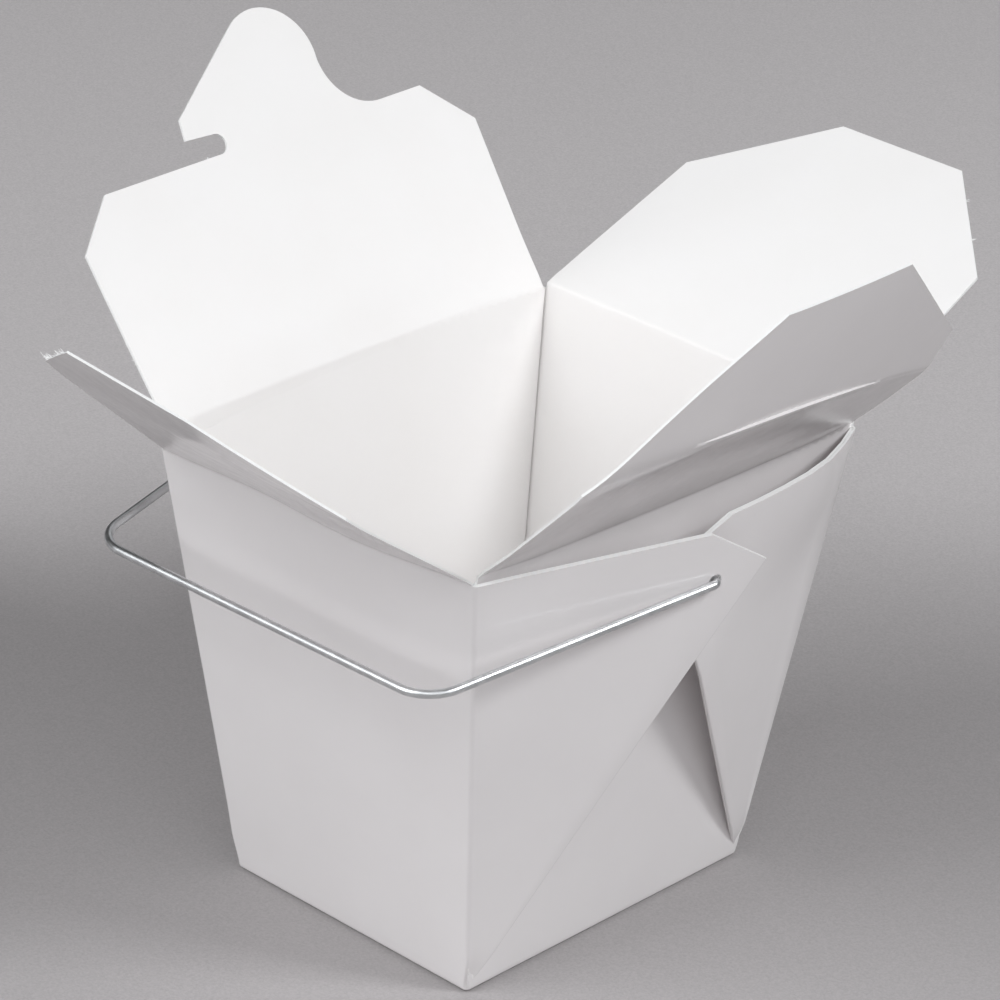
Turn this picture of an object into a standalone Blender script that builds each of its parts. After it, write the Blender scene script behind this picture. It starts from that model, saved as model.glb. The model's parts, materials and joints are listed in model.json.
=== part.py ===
"""Folded-board takeaway pail with four hinged lid flaps and a wire bail, standing open.

Frame: metres, +Z up, origin at the centre of the base's underside. -Y is the plain front wall,
+Y the plain back wall, +X the pleated side with the slot flap, -X the one with the tab flap.
"""

import math

import bmesh
import bpy
from mathutils import Matrix, Vector
from mathutils.geometry import tessellate_polygon

MM = 0.001

# Board, wire and the air between separate pieces.
BOARD = 0.45 * MM
GAP = 0.3 * MM
WIRE_RADIUS = 0.8 * MM

# Body: a box that flares upward, with its side rims one board step above the front and back rims.
BASE_HALF_X = 28.2 * MM
BASE_HALF_Y = 35.1 * MM
FLARE_X = 0.107
FLARE_Y = 0.1565
RIM_Z = 84.5 * MM
SIDE_RIM_Z = RIM_Z + 1.0 * MM
SIDE_RIM_HALF = 47.0 * MM

# Pleats: each corner's wedge of board is folded double and laid outside the side wall.
# Its outline starts at the wall corner, so it is measured along and away from the corner edge.
PLEAT_CREASE = 91.8 * MM
PLEAT_WEDGE = math.radians(38.8)
PLEAT_TIP_CUT = 14.2 * MM
FRONT_PLEAT_SWING = math.radians(15.5)
BACK_PLEAT_SWING = math.radians(8.5)

# Bail: its two ends pass through punched holes in the pleats, on one axis along X.
BAIL_AXIS_Y = -1.0 * MM
BAIL_AXIS_Z = 75.0 * MM
BAIL_HOLE_RADIUS = 1.5 * MM
BAIL_DROOP = math.radians(5.5)
BAIL_REACH = 60.3 * MM
BAIL_HALF_WIDTH = 39.5 * MM
BAIL_HOLE_X = 50.1 * MM
BAIL_FOOT_X = 39.2 * MM
BAIL_FOOT = 3.4 * MM
BAIL_BENDS = (7.5 * MM, 1.7 * MM, 1.4 * MM)

# Lid flaps: tilt is measured outward from upright, curl bends the outer half back inward.
PLAIN_ROOT_HALF = 36.5 * MM
PLAIN_SHOULDER = (35.2 * MM, 37.7 * MM)
PLAIN_END = (14.6 * MM, 58.8 * MM)
WIDE_ROOT_HALF = 47.0 * MM
SLOT_SHOULDER = (47.8 * MM, 31.9 * MM)
SLOT_END = (15.7 * MM, 63.4 * MM)
TAB_SHOULDER = (48.1 * MM, 32.7 * MM)
TAB_EDGE = (38.7 * MM, 41.6 * MM)
FRONT_TILT = math.radians(53.5)
BACK_TILT = math.radians(66.7)
SLOT_TILT = math.radians(41.5)
TAB_TILT = math.radians(37.0)
FRONT_CURL = math.radians(4.5)
SLOT_CURL = math.radians(14.6)
CURL_START = 27.2 * MM
CURL_LENGTH = 13.6 * MM
CURL_STEPS = 6

# Locking tab: a straight flank up to a round head, swept back into the flap's edge by a hollow.
TAB_HEAD = Vector((-8.5, 54.1)) * MM
TAB_HEAD_RADIUS = 10.2 * MM
TAB_HOLLOW = Vector((-28.5, 51.6)) * MM
TAB_HOLLOW_RADIUS = 10.0 * MM
TAB_FLANK = (Vector((17.2, 45.8)) * MM, Vector((16.5, 49.7)) * MM)
HOOK_NOTCH_END_X = 10.6 * MM
HOOK_NOTCH_RADIUS = 1.9 * MM

# Slit that takes the tab: a shallow arc through three points of the slot flap.
SLIT_POINTS = (Vector((-22.6, 35.3)) * MM, Vector((8.0, 33.0)) * MM, Vector((30.0, 28.0)) * MM)
SLIT_HALF_WIDTH = 0.2 * MM
SLIT_STEPS = 14
ARC_STEP = math.radians(12)


def wall_half_x(z):
    return BASE_HALF_X + FLARE_X * z


def wall_half_y(z):
    return BASE_HALF_Y + FLARE_Y * z


def make_material(name, colour, roughness, metallic):
    material = bpy.data.materials.new(name)
    material.use_nodes = True
    shader = material.node_tree.nodes["Principled BSDF"]
    shader.inputs["Base Color"].default_value = (*colour, 1.0)
    shader.inputs["Roughness"].default_value = roughness
    shader.inputs["Metallic"].default_value = metallic
    return material


def mesh_object(name, bm, material=None):
    """Store the bmesh as an object of its own, faces pointing out."""
    bmesh.ops.recalc_face_normals(bm, faces=bm.faces[:])
    mesh = bpy.data.meshes.new(name)
    bm.to_mesh(mesh)
    bm.free()
    obj = bpy.data.objects.new(name, mesh)
    bpy.context.scene.collection.objects.link(obj)
    if material:
        mesh.materials.append(material)
    return obj


def cutter_collection(name, objects):
    """Gather hidden helper solids for one Boolean modifier."""
    collection = bpy.data.collections.new(name)
    bpy.context.scene.collection.children.link(collection)
    for obj in objects:
        obj.hide_render = True
        obj.display_type = 'WIRE'
        bpy.context.scene.collection.objects.unlink(obj)
        collection.objects.link(obj)
    return collection


def add_boolean(obj, operation, collection):
    modifier = obj.modifiers.new(collection.name, 'BOOLEAN')
    modifier.operation = operation
    modifier.solver = 'EXACT'
    modifier.operand_type = 'COLLECTION'
    modifier.collection = collection


def extrude_outline(outline, depth):
    """Closed solid from a flat outline of points, pushed along one vector."""
    bm = bmesh.new()
    face = bm.faces.new([bm.verts.new(point) for point in outline])
    pushed = bmesh.ops.extrude_face_region(bm, geom=[face])
    moved = [item for item in pushed["geom"] if isinstance(item, bmesh.types.BMVert)]
    bmesh.ops.translate(bm, verts=moved, vec=depth)
    return bm


def flared_block(name, low_z, high_z, inset_x, inset_y, material=None):
    """Solid that follows the body's flare between two heights, its sides set in by the insets."""
    bm = bmesh.new()
    rings = []
    for z in (low_z, high_z):
        x = wall_half_x(z) - inset_x
        y = wall_half_y(z) - inset_y
        corners = ((x, -y), (x, y), (-x, y), (-x, -y))
        rings.append([bm.verts.new((cx, cy, z)) for cx, cy in corners])
    bm.faces.new(rings[0][::-1])
    bm.faces.new(rings[1])
    for i in range(4):
        j = (i + 1) % 4
        bm.faces.new((rings[0][i], rings[0][j], rings[1][j], rings[1][i]))
    return mesh_object(name, bm, material)


def box(name, low, high):
    bm = bmesh.new()
    bmesh.ops.create_cube(bm, size=1.0)
    size = Vector(high) - Vector(low)
    centre = (Vector(high) + Vector(low)) / 2
    bmesh.ops.transform(bm, matrix=Matrix.Translation(centre) @ Matrix.Diagonal((*size, 1.0)), verts=bm.verts)
    return mesh_object(name, bm)


def pleat(name, sign_x, sign_y, swing):
    """Double-thickness pleat on one corner edge, swung out from the side wall about that edge."""
    foot = Vector((BASE_HALF_X, -BASE_HALF_Y, 0.0))
    corner = Vector((wall_half_x(RIM_Z), -wall_half_y(RIM_Z), RIM_Z))
    along = (corner - foot).normalized()
    across = Vector((0, 1, 0)) - along * along.y
    across.normalize()
    outward = across.cross(along)
    away = across * math.cos(swing) + outward * math.sin(swing)
    inward = across * math.sin(swing) - outward * math.cos(swing)

    crease = Vector((math.cos(PLEAT_WEDGE), math.sin(PLEAT_WEDGE)))
    tip = crease * PLEAT_CREASE
    apex = tip + Vector((crease.y, -crease.x)) * PLEAT_TIP_CUT
    flat = (Vector((0, 0)), Vector(((corner - foot).length, 0)), apex, tip)
    outline = [foot + along * point.x + away * point.y for point in flat]
    bm = extrude_outline(outline, inward * 2 * BOARD)
    bmesh.ops.transform(bm, matrix=Matrix.Diagonal((sign_x, sign_y, 1.0, 1.0)), verts=bm.verts)
    return mesh_object(name, bm)


def bail_punch(name, sign_x):
    """Cylinder that punches one side's pleats but stops short of the wall behind them."""
    inner = wall_half_x(BAIL_AXIS_Z) + 1.5 * MM
    outer = BAIL_HOLE_X + 6 * MM
    bm = bmesh.new()
    place = Matrix.Translation((sign_x * (inner + outer) / 2, BAIL_AXIS_Y, BAIL_AXIS_Z))
    bmesh.ops.create_cone(bm, cap_ends=True, segments=20, radius1=BAIL_HOLE_RADIUS,
                          radius2=BAIL_HOLE_RADIUS, depth=outer - inner,
                          matrix=place @ Matrix.Rotation(math.pi / 2, 4, 'Y'))
    return mesh_object(name, bm)


def make_tub(board):
    """Base, four flared walls and four pleats in one folded board."""
    tub = flared_block("tub", 0.0, SIDE_RIM_Z, 0.0, 0.0, board)
    pleats = []
    for side, sign_x in (("slot", 1), ("tab", -1)):
        pleats.append(pleat(f"pleat_{side}_front", sign_x, 1, FRONT_PLEAT_SWING))
        pleats.append(pleat(f"pleat_{side}_back", sign_x, -1, BACK_PLEAT_SWING))
    add_boolean(tub, 'UNION', cutter_collection("pleats", pleats))

    clear = 5 * MM
    inset_x = BOARD * math.hypot(1.0, FLARE_X)
    inset_y = BOARD * math.hypot(1.0, FLARE_Y)
    cuts = [flared_block("cavity", BOARD, SIDE_RIM_Z + clear, inset_x, inset_y)]
    for name, sign_y in (("rim_front", -1), ("rim_back", 1)):
        far = sign_y * (wall_half_y(SIDE_RIM_Z) + clear)
        near_y, far_y = sorted((sign_y * SIDE_RIM_HALF, far))
        reach_x = wall_half_x(SIDE_RIM_Z) + clear
        cuts.append(box(name, (-reach_x, near_y, RIM_Z), (reach_x, far_y, SIDE_RIM_Z + clear)))
    cuts += [bail_punch("punch_slot", 1), bail_punch("punch_tab", -1)]
    add_boolean(tub, 'DIFFERENCE', cutter_collection("cuts", cuts))
    return tub


def arc(centre, radius, start, end):
    """Points on an arc from one angle to another, both ends included."""
    steps = max(2, math.ceil(abs(end - start) / ARC_STEP))
    angles = [start + (end - start) * i / steps for i in range(steps + 1)]
    return [centre + Vector((math.cos(a), math.sin(a))) * radius for a in angles]


def arc_through(first, middle, last, steps):
    """Points on the circle through three points, from the first to the last."""
    side_a = middle - first
    side_b = last - first
    cross = 2 * (side_a.x * side_b.y - side_a.y * side_b.x)
    a2, b2 = side_a.length_squared, side_b.length_squared
    centre = first + Vector((side_b.y * a2 - side_a.y * b2, side_a.x * b2 - side_b.x * a2)) / cross
    start = math.atan2(first.y - centre.y, first.x - centre.x)
    end = math.atan2(last.y - centre.y, last.x - centre.x)
    radius = (first - centre).length
    angles = [start + (end - start) * i / steps for i in range(steps + 1)]
    return [centre + Vector((math.cos(a), math.sin(a))) * radius for a in angles]


def mirrored_outline(points):
    """Outline of a symmetric flap, from its right-hand points listed outward from the crease."""
    right = [Vector(point) for point in points]
    return right + [Vector((-point.x, point.y)) for point in reversed(right)]


def tab_flap_outline():
    """Wide flap with a round-headed tab, undercut on one flank by the hook notch."""
    head_to_hollow = TAB_HOLLOW - TAB_HEAD
    meet = math.atan2(head_to_hollow.y, head_to_hollow.x) % (2 * math.pi)
    notch_floor = TAB_EDGE[1]
    notch_centre = Vector((HOOK_NOTCH_END_X, notch_floor + HOOK_NOTCH_RADIUS))
    points = [Vector((WIDE_ROOT_HALF, 0)), Vector(TAB_SHOULDER), Vector(TAB_EDGE)]
    points += arc(notch_centre, HOOK_NOTCH_RADIUS, -math.pi / 2, -3 * math.pi / 2)
    points += TAB_FLANK
    points += arc(TAB_HEAD, TAB_HEAD_RADIUS, math.radians(54), meet)
    points += arc(TAB_HOLLOW, TAB_HOLLOW_RADIUS, meet - math.pi, -math.pi / 2)
    points += [Vector((-TAB_EDGE[0], TAB_EDGE[1])), Vector((-TAB_SHOULDER[0], TAB_SHOULDER[1]))]
    points.append(Vector((-WIDE_ROOT_HALF, 0)))
    return points


def slit_outline():
    """Thin lens along the slit's arc, pointed at both ends."""
    spine = arc_through(*SLIT_POINTS, SLIT_STEPS)
    upper, lower = [], []
    for i in range(1, SLIT_STEPS):
        run = (spine[i + 1] - spine[i - 1]).normalized()
        offset = Vector((-run.y, run.x)) * SLIT_HALF_WIDTH
        upper.append(spine[i] + offset)
        lower.append(spine[i] - offset)
    return [spine[0], *upper, spine[-1], *reversed(lower)]


def curl_board(bm, angle):
    """Bend a flat board inward about a line parallel to its crease."""
    for step in range(CURL_STEPS + 1):
        height = CURL_START + CURL_LENGTH * step / CURL_STEPS
        geometry = bm.verts[:] + bm.edges[:] + bm.faces[:]
        bmesh.ops.bisect_plane(bm, geom=geometry, plane_co=(0, 0, height), plane_no=(0, 0, 1))
    bmesh.ops.triangulate(bm, faces=bm.faces[:])
    radius = CURL_LENGTH / angle
    for vert in bm.verts:
        past = vert.co.z - CURL_START
        if past <= 0:
            continue
        turn = min(past / CURL_LENGTH, 1.0) * angle
        straight = max(past - CURL_LENGTH, 0.0)
        depth = vert.co.y
        vert.co.y = radius * (1 - math.cos(turn)) + straight * math.sin(turn) + depth * math.cos(turn)
        vert.co.z = CURL_START + radius * math.sin(turn) + straight * math.cos(turn) - depth * math.sin(turn)


def make_flap(name, outline, hinge, heading, tilt, board, holes=(), curl=0.0):
    """Board flap whose origin lies on its crease: local X along the crease, local Y inward."""
    loops = [outline, *holes]
    corners = [point for loop in loops for point in loop]
    bm = bmesh.new()
    verts = [bm.verts.new((point.x, -BOARD / 2, point.y)) for point in corners]
    for triangle in tessellate_polygon([[point.to_3d() for point in loop] for loop in loops]):
        bm.faces.new([verts[i] for i in triangle])
    pushed = bmesh.ops.extrude_face_region(bm, geom=bm.faces[:])
    moved = [item for item in pushed["geom"] if isinstance(item, bmesh.types.BMVert)]
    bmesh.ops.translate(bm, verts=moved, vec=(0, BOARD, 0))
    if curl:
        curl_board(bm, curl)
    flap = mesh_object(name, bm, board)
    flap.location = hinge
    flap.rotation_euler = (tilt, 0.0, heading)
    return flap


def make_flaps(board):
    """Two plain flaps and the slot and tab flaps, each on the crease above its wall's rim."""
    lift = GAP + BOARD / 2
    plain = mirrored_outline(((PLAIN_ROOT_HALF, 0), PLAIN_SHOULDER, PLAIN_END))
    slotted = mirrored_outline(((WIDE_ROOT_HALF, 0), SLOT_SHOULDER, SLOT_END))
    crease_y = wall_half_y(RIM_Z) - BOARD / 2
    crease_x = wall_half_x(SIDE_RIM_Z) - BOARD / 2
    plain_z = RIM_Z + lift
    wide_z = SIDE_RIM_Z + lift
    make_flap("flap_front", plain, (0, -crease_y, plain_z), 0.0, FRONT_TILT, board, curl=FRONT_CURL)
    make_flap("flap_back", plain, (0, crease_y, plain_z), math.pi, BACK_TILT, board)
    make_flap("flap_slot", slotted, (crease_x, 0, wide_z), math.pi / 2, SLOT_TILT, board,
              holes=(slit_outline(),), curl=SLOT_CURL)
    make_flap("flap_tab", tab_flap_outline(), (-crease_x, 0, wide_z), -math.pi / 2, TAB_TILT, board)


def rounded_path(points, radii):
    """Path with each inner corner turned on an arc of its own radius."""
    path = [points[0]]
    for before, corner, after, radius in zip(points, points[1:], points[2:], radii):
        to_before = (before - corner).normalized()
        to_after = (after - corner).normalized()
        half = to_before.angle(to_after) / 2
        centre = corner + (to_before + to_after).normalized() * (radius / math.sin(half))
        start = (corner + to_before * (radius / math.tan(half)) - centre).normalized()
        sweep = math.pi - 2 * half
        steps = max(3, math.ceil(sweep / ARC_STEP))
        for i in range(steps + 1):
            angle = sweep * i / steps
            path.append(centre + (start * math.cos(angle) - to_before * math.sin(angle)) * radius)
    path.append(points[-1])
    return path


def make_bail(steel):
    """Wire bail drawn flat: a cross-piece, two splayed legs and two hooked ends on the axis."""
    right = [Vector((BAIL_HALF_WIDTH, -BAIL_REACH, 0)), Vector((BAIL_HOLE_X, 0, 0)),
             Vector((BAIL_FOOT_X, 0, 0)), Vector((BAIL_FOOT_X, BAIL_FOOT, 0))]
    left = [Vector((-point.x, point.y, 0)) for point in reversed(right)]
    path = rounded_path(left + right, [*reversed(BAIL_BENDS), *BAIL_BENDS])

    curve = bpy.data.curves.new("bail", 'CURVE')
    curve.dimensions = '3D'
    curve.bevel_depth = WIRE_RADIUS
    curve.bevel_resolution = 3
    curve.use_fill_caps = True
    spline = curve.splines.new('POLY')
    spline.points.add(len(path) - 1)
    for point, place in zip(spline.points, path):
        point.co = (*place, 1.0)
    curve.materials.append(steel)
    bail = bpy.data.objects.new("bail", curve)
    bpy.context.scene.collection.objects.link(bail)
    bail.location = (0, BAIL_AXIS_Y, BAIL_AXIS_Z)
    bail.rotation_euler = (BAIL_DROOP, 0.0, 0.0)
    return bail


def main():
    for obj in list(bpy.data.objects):
        bpy.data.objects.remove(obj, do_unlink=True)
    board = make_material("board", (0.80, 0.80, 0.83), 0.5, 0.0)
    steel = make_material("bail_steel", (0.62, 0.63, 0.65), 0.3, 1.0)
    make_tub(board)
    make_flaps(board)
    make_bail(steel)


main()
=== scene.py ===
"""Looks of an empty white takeaway pail standing open: one folded board, four lid flaps, a wire bail.

Every piece is in metres in the CAD frame. The board is built as a thin sheet that runs from wall to
pleat to wall in one piece and is then given its thickness, so its creases are real round folds.
"""

import json
import math
import random

import bmesh
import bpy
from mathutils import Matrix, Vector
from mathutils.geometry import delaunay_2d_cdt


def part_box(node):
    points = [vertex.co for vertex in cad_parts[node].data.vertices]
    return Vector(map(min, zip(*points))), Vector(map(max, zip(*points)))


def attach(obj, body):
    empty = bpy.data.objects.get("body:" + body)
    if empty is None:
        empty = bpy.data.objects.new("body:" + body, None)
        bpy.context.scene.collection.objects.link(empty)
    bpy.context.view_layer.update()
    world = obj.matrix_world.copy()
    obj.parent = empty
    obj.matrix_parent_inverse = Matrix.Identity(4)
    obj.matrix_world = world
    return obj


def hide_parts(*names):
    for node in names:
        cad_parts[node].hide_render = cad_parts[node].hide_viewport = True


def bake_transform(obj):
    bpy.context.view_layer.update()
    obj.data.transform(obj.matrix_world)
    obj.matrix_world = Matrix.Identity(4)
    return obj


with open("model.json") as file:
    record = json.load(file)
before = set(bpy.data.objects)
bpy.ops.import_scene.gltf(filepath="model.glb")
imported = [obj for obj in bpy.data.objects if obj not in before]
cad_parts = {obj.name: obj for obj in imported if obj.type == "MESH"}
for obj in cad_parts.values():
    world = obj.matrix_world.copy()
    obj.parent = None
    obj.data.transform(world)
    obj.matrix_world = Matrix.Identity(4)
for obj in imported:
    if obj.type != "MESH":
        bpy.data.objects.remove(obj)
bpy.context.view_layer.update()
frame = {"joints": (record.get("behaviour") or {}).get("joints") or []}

MM = 0.001
JOINTS = {joint["name"]: joint for joint in frame["joints"]}
TUB_LOW, TUB_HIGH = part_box("tub")

# Board: the sheet and how tightly it turns at its folds.
BOARD = 0.42 * MM
LAYER_GAP = 0.06 * MM
CORNER_RADIUS = 1.1 * MM
BASE_RADIUS = 0.5 * MM
BASE_CORNER_RADIUS = 0.9 * MM

# Body, as in the part: it flares from the base to the rim.
BASE_HALF_X = 28.2 * MM
BASE_HALF_Y = 35.1 * MM
RIM_Z = 84.5 * MM
FLARE_Y = (TUB_HIGH.y - BASE_HALF_Y) / RIM_Z
FLARE_X = 0.107

# The board's spring twists the mouth: how far each corner of the rim stands off its level.
RIM_RISE = {(1, -1): 0.6 * MM, (-1, -1): -1.2 * MM, (1, 1): -0.6 * MM, (-1, 1): 0.6 * MM}
FRONT_BOW = 1.3 * MM
FRONT_BOW_SKEW = 1.0
BACK_BOW = 0.4 * MM
SLOT_SIDE_BOW = 0.7 * MM
TAB_SIDE_BOW = 1.3 * MM
# The foot of the front right corner stands out a little, as its folds are pinched there.
FOOT_SPREAD = Vector((1.6, -1.8, 0)) * MM

# Pleats, measured along and away from their corner edge.
PLEAT_CREASE = 91.8 * MM
PLEAT_WEDGE = math.radians(38.8)
PLEAT_TIP_CUT = 14.2 * MM
FRONT_PLEAT_SWING = math.radians(15.5)
BACK_PLEAT_SWING = math.radians(26.0)
BACK_PLEAT_LOW_SWING = math.radians(12.6)
# Back pleats at the rim: how far out of the side wall the board stands at distances from its corner.
BACK_PLEAT_BULGE = ((0.0, 0.0), (6.0, 2.6), (12.0, 4.9), (20.5, 7.0), (32.0, 8.6), (44.0, 9.6),
                    (50.0, 9.4), (58.0, 7.9), (64.0, 6.4))
BACK_PLEAT_TRIM = 2.2 * MM
# From which share of the height the back pleats bulge, and over what share that grows.
PLEAT_PUSH = (0.66, 0.3)

# Where the side walls come to a corner they tuck in behind the pleat's two layers.
INNER_FOLD_START = 0.8 * MM
INNER_FOLD_RADIUS = 0.27 * MM
SIDE_SETTLE = 14.0 * MM
FOOT_FADE = 7.0 * MM
SQUEEZE_REACH = 12.0 * MM
SQUEEZE_LEAST = 0.25
# Two rays of a pleat's fan this far apart give the board's run there.
RAY_NUDGE = 0.02

# Bail.
WIRE_RADIUS = 0.8 * MM
WIRE_SIDES = 16
WIRE_STEP = 1.5 * MM
WIRE_CHAMFER = 0.15 * MM
BAIL_HOLE_RADIUS = 1.2 * MM
BAIL_HOLE_SIDES = 28
# The punch starts this far outside the wall and ends this far past the bail's own hole.
PUNCH_START = 1.5 * MM
PUNCH_PAST = 6.0 * MM
BAIL_DROOP = math.radians(5.5)
BAIL_REACH = 60.3 * MM
BAIL_HALF_WIDTH = 39.5 * MM
BAIL_HOLE_X = 50.1 * MM
BAIL_FOOT_X = 39.2 * MM
BAIL_FOOT = 3.4 * MM
BAIL_BENDS = (7.5 * MM, 1.2 * MM, 1.4 * MM)

# Lid flaps: outlines are measured along and away from each flap's crease.
PLAIN_ROOT_HALF = 36.5 * MM
FRONT_SHOULDER = (36.5 * MM, 38.0 * MM)
FRONT_END = (15.0 * MM, 58.9 * MM)
BACK_SHOULDER = (34.8 * MM, 37.4 * MM)
BACK_END = (14.2 * MM, 58.4 * MM)
WIDE_ROOT_HALF = 47.0 * MM
SLOT_SHOULDER = (47.8 * MM, 32.1 * MM)
SLOT_END = (15.5 * MM, 63.5 * MM)
TAB_SHOULDER = (48.1 * MM, 32.5 * MM)
TAB_EDGE = (38.7 * MM, 41.4 * MM)
CURL_START = 27.2 * MM
CURL_LENGTH = 13.6 * MM
CREASE_BEND = 1.1 * MM
CREASE_SETTLE = 12.0 * MM

TAB_HEAD = Vector((-8.5, 53.9)) * MM
TAB_HEAD_RADIUS = 10.2 * MM
TAB_HEAD_START = math.radians(54)
TAB_HOLLOW = Vector((-28.5, 51.4)) * MM
TAB_HOLLOW_RADIUS = 10.0 * MM
TAB_FLANK = (Vector((17.2, 45.6)) * MM, Vector((16.5, 49.5)) * MM)
HOOK_NOTCH_END_X = 10.6 * MM
HOOK_NOTCH_RADIUS = 1.9 * MM

SLIT_POINTS = (Vector((-22.6, 35.2)) * MM, Vector((8.0, 32.9)) * MM, Vector((30.0, 27.9)) * MM)
SLIT_HALF_WIDTH = 0.12 * MM
SLIT_STEPS = 40
# Below the slit the board stands out as a lip; beyond its right end a shallow score goes on.
LIP = 0.6 * MM
LIP_REACH = 3.0 * MM
LIP_ROUNDING = 0.7
LIP_DIP_SHARE = 0.3
SCORE_LEFT_REACH = 8.0 * MM
SCORE_DEPTH = 0.1 * MM
SCORE_WIDTH = 0.35 * MM
# The slot flap bends at its slit; left of KINK_END that bend widens over KINK_FADE into a soft curl.
KINK_LENGTH = 3.0 * MM
KINK_END = -12.0 * MM
KINK_FADE = 22.0 * MM

# Ground: its colour holds painted light, darker near the pail and paler beyond it: where the painted light
# starts to grow paler and where it is palest, along one heading, and its tooth.
PAINTED_LIGHT_HEADING = math.radians(42)
FLOOR_PAINTED_LIGHT = (66 * MM, 175 * MM)
FLOOR_TOOTH = 2200
FLOOR_HALF = 6.0
FLOOR_GAP = 0.25 * MM

# Studio light: every softbox's azimuth and elevation in degrees, its power in watts and its width.
SOFTBOXES = {
    "key": (112, 43, 9.3, 0.38),
    "right": (82, 32, 2.9, 0.9),
    "front": (42, 32, 3.0, 0.9),
    "front_high": (10, 52, 2.3, 0.9),
    "left": (-20, 32, 11.2, 0.9),
    "back": (205, 35, 1.6, 0.9),
}
LIGHT_COLOUR = (0.965, 0.985, 1.0)
SOFTBOX_DISTANCE = 1.4
SOFTBOX_TARGET = Vector((0, 0, 70 * MM))
WORLD_STRENGTH = 0.03
WORLD_COLOUR = (0.95, 0.93, 0.95, 1)

# Camera: where it looks from, in degrees and metres, and its lens on a 36 mm wide sensor.
CAMERA_AZIMUTH = math.radians(42.028)
CAMERA_ELEVATION = math.radians(26.255)
CAMERA_ROLL = math.radians(3.059)
CAMERA_EYE = Vector((0.718673, -0.799361, 0.601668))
CAMERA_SENSOR = 36.0
CAMERA_LENS = 248.47

# Mesh density.
ARC_STEP = math.radians(5)
GRID_STEP = 2.4 * MM
GRID_ROW_SHARE = 0.8
# How near an outline a grid point may lie: as a share of the grid, and within the close crease rows.
GRID_CLEAR_SHARE = 0.35
CREASE_CLEAR = 0.02 * MM
CREASE_ROWS_END = 2.0 * MM
# How near a bend row's point a grid point may lie across it, and how near an outline a row may come.
BEND_ROW_REACH = 0.9 * MM
BEND_ROW_CLEAR = 0.25 * MM
PLEAT_FAN = 6
FOLD_STEPS = 6
BEND_STEPS = 6
TUCK_STEPS = 8
SETTLE_STEPS = (0.08, 0.18, 0.3, 0.45, 0.62, 0.8, 1.0)
FRONT_STEPS = 22
SIDE_STEPS = 18
BASE_STEPS = 4
LOW_SHARES = (0.016, 0.026, 0.04, 0.058, 0.08, 0.11, 0.15)
HIGH_ROWS = 18
# Rows of points beside a flap's crease and across the slot flap's slit, in millimetres from them.
CREASE_ROWS = (-3.0, -2.5, -2.0, -1.5, -1.0, -0.6, -0.35, -0.22, -0.12, -0.04,
               0.04, 0.12, 0.22, 0.35, 0.5, 0.7, 1.0, 1.6)
BEND_ROWS = (-2.6, -1.9, -1.3, -0.8, -0.4, 0.0, 0.4, 0.8, 1.3, 1.9, 2.6)
BEND_ROW_STEP = 1.6 * MM
# A point is reached up the board in steps this long, or in a fixed number of them near the crease.
RUN_STEP = 0.8 * MM
NEAR_CREASE = 4.0 * MM
NEAR_CREASE_STEPS = 16
# A wall's top edge is looked for this close to its flap's crease.
RIM_REACH = 2.2 * MM


def smooth(t):
    t = min(max(t, 0.0), 1.0)
    return t * t * (3 - 2 * t)


def mix(a, b, t):
    return a + (b - a) * t


def wall_half_x(z):
    return BASE_HALF_X + FLARE_X * z


def wall_half_y(z):
    return BASE_HALF_Y + FLARE_Y * z


# ---------------------------------------------------------------- materials

class Nodes:
    """Short-hand for building one material's node tree."""

    def __init__(self, name):
        self.material = bpy.data.materials.new(name)
        self.material.use_nodes = True
        self.tree = self.material.node_tree
        self.shader = self.tree.nodes["Principled BSDF"]
        self.place = self.add("ShaderNodeTexCoord").outputs["Object"]

    def add(self, kind, **values):
        node = self.tree.nodes.new(kind)
        for key, value in values.items():
            if key in node.inputs:
                node.inputs[key].default_value = value
            else:
                setattr(node, key, value)
        return node

    def link(self, source, target):
        self.tree.links.new(source, target)

    def set(self, **values):
        for key, value in values.items():
            self.shader.inputs[key.replace("_", " ")].default_value = value

    def stretched(self, scale):
        node = self.add("ShaderNodeMapping")
        node.inputs["Scale"].default_value = scale
        self.link(self.place, node.inputs["Vector"])
        return node.outputs["Vector"]

    def noise(self, scale, detail=3.0, roughness=0.5, vector=None):
        node = self.add("ShaderNodeTexNoise", Scale=scale, Detail=detail, Roughness=roughness)
        self.link(vector or self.place, node.inputs["Vector"])
        return node.outputs["Fac"]

    def remap(self, value, low_in, high_in, low_out, high_out):
        node = self.add("ShaderNodeMapRange")
        node.inputs["From Min"].default_value = low_in
        node.inputs["From Max"].default_value = high_in
        node.inputs["To Min"].default_value = low_out
        node.inputs["To Max"].default_value = high_out
        self.link(value, node.inputs["Value"])
        return node.outputs["Result"]

    def blend(self, factor, colour_a, colour_b):
        node = self.add("ShaderNodeMix", data_type="RGBA")
        self.link(factor, node.inputs["Factor"])
        for socket, colour in ((node.inputs[6], colour_a), (node.inputs[7], colour_b)):
            if isinstance(colour, tuple):
                socket.default_value = (*colour, 1.0)
            else:
                self.link(colour, socket)
        return node.outputs[2]

    def bump(self, height, distance, strength=1.0, normal=None):
        node = self.add("ShaderNodeBump", Strength=strength, Distance=distance)
        self.link(height, node.inputs["Height"])
        if normal:
            self.link(normal, node.inputs["Normal"])
        return node.outputs["Normal"]


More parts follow.
